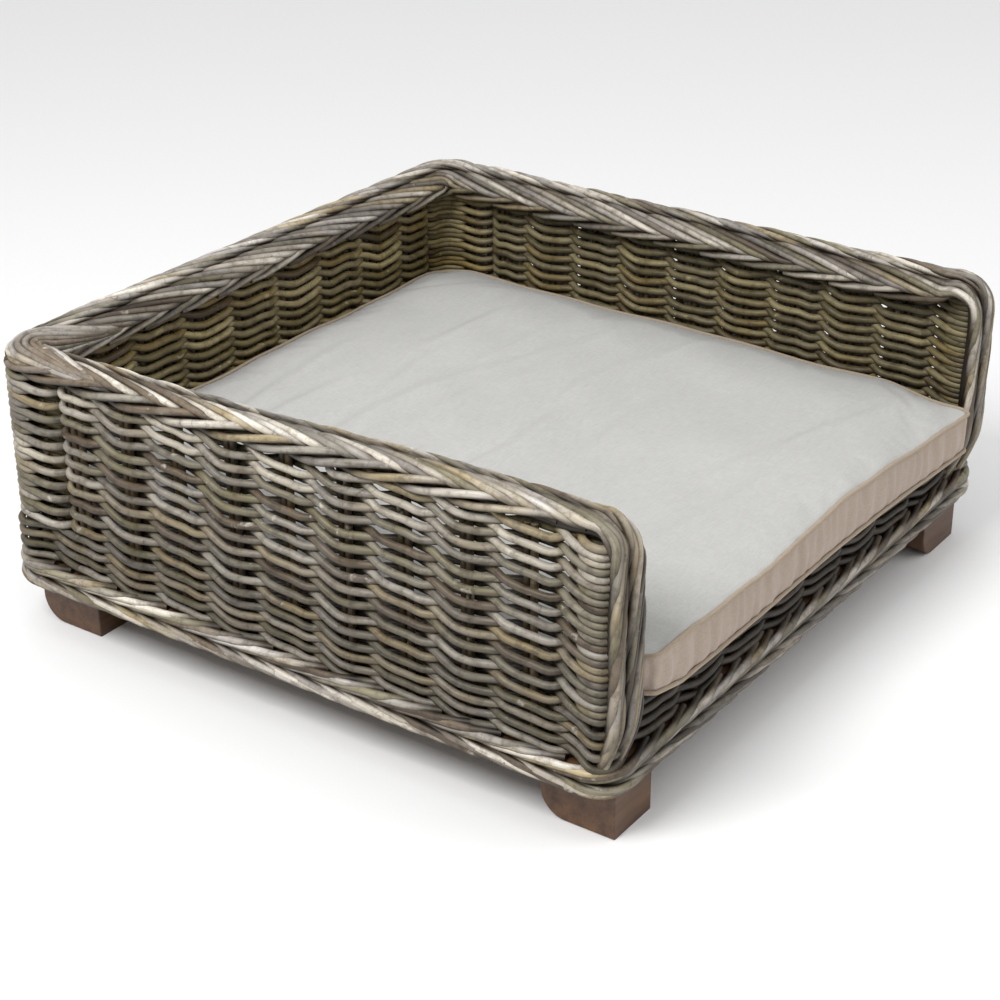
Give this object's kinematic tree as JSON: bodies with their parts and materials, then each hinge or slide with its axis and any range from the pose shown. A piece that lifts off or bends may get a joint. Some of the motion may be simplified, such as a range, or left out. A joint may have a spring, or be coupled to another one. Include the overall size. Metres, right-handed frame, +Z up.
{
  "type": "wicker pet bed basket",
  "caption": "Rectangular rattan pet bed with three high twined walls, plaited borders, a low woven front, block feet and a lift-out boxed mattress.",
  "frame": {"origin": "centre of the plan of the borders, on the floor under the feet", "axes": "+Z up, the open low front faces -Y, width runs along X, the back wall is at +Y"},
  "size_m": [0.9, 0.87, 0.362],
  "materials": {
    "rattan_cane": "weathered grey-brown rattan cane, unvarnished, matt",
    "rattan_thick": "thicker weathered rattan cane, grey with tan and olive patches, faint satin",
    "rattan_stake": "darker rattan rods, matt",
    "dark_timber": "brown stained hardwood, satin",
    "pale_timber": "sawn plain softwood",
    "plated_steel": "zinc plated",
    "cover_cotton": "off-white plain-woven cotton",
    "piping_cotton": "beige cotton piping",
    "foam": "open-cell upholstery foam",
    "zip_nylon": "moulded nylon coil",
    "zip_metal": "nickel plated"
  },
  "bodies": {
    "basket": {"rim_border_left": "rattan_thick", "rim_border_back": "rattan_thick", "rim_border_right": "rattan_thick", "front_border_left": "rattan_thick", "front_border_right": "rattan_thick", "foot_border_left": "rattan_thick", "foot_border_back": "rattan_thick", "foot_border_right": "rattan_thick", "foot_border_front": "rattan_thick", "weave_left": "rattan_cane", "weave_back": "rattan_cane", "weave_right": "rattan_cane", "weave_front": "rattan_cane", "post_wrap_front_left": "rattan_cane", "post_wrap_front_right": "rattan_cane", "post_wrap_back_left": "rattan_cane", "post_wrap_back_right": "rattan_cane", "stakes_left": "rattan_stake", "stakes_back": "rattan_stake", "stakes_right": "rattan_stake", "stakes_front": "rattan_stake", "post_front_left": "rattan_stake", "post_front_right": "rattan_stake", "post_back_left": "rattan_stake", "post_back_right": "rattan_stake", "rim_rod_left": "rattan_stake", "rim_rod_back": "rattan_stake", "rim_rod_right": "rattan_stake", "foot_front_left": "dark_timber", "foot_front_right": "dark_timber", "foot_back_left": "dark_timber", "foot_back_right": "dark_timber", "foot_bolt_front_left": "plated_steel", "foot_bolt_front_right": "plated_steel", "foot_bolt_back_left": "plated_steel", "foot_bolt_back_right": "plated_steel", "base_rail_left": "dark_timber", "base_rail_right": "dark_timber", "base_rail_front": "dark_timber", "base_rail_back": "dark_timber", "deck_bearer_left": "pale_timber", "deck_bearer_right": "pale_timber", "deck_bearer_middle": "pale_timber", "deck_slat_1": "pale_timber", "deck_slat_2": "pale_timber", "deck_slat_3": "pale_timber", "deck_slat_4": "pale_timber", "deck_slat_5": "pale_timber", "deck_slat_6": "pale_timber", "deck_slat_7": "pale_timber", "deck_slat_8": "pale_timber", "deck_slat_9": "pale_timber"},
    "mattress": {"mattress_cover": "cover_cotton", "mattress_piping_top": "piping_cotton", "mattress_piping_bottom": "piping_cotton", "mattress_foam": "foam", "zip_chain": "zip_nylon"},
    "zip_slider": {"zip_slider": "zip_metal"}
  },
  "joints": [
    {"name": "mattress_lift", "type": "slide", "parent": "basket", "child": "mattress", "axis": [0, 0, 1], "range_m": [0, 0.3]},
    {"name": "zip_slide", "type": "slide", "parent": "mattress", "child": "zip_slider", "axis": [1, 0, 0], "range_m": [0, 0.47]}
  ]
}
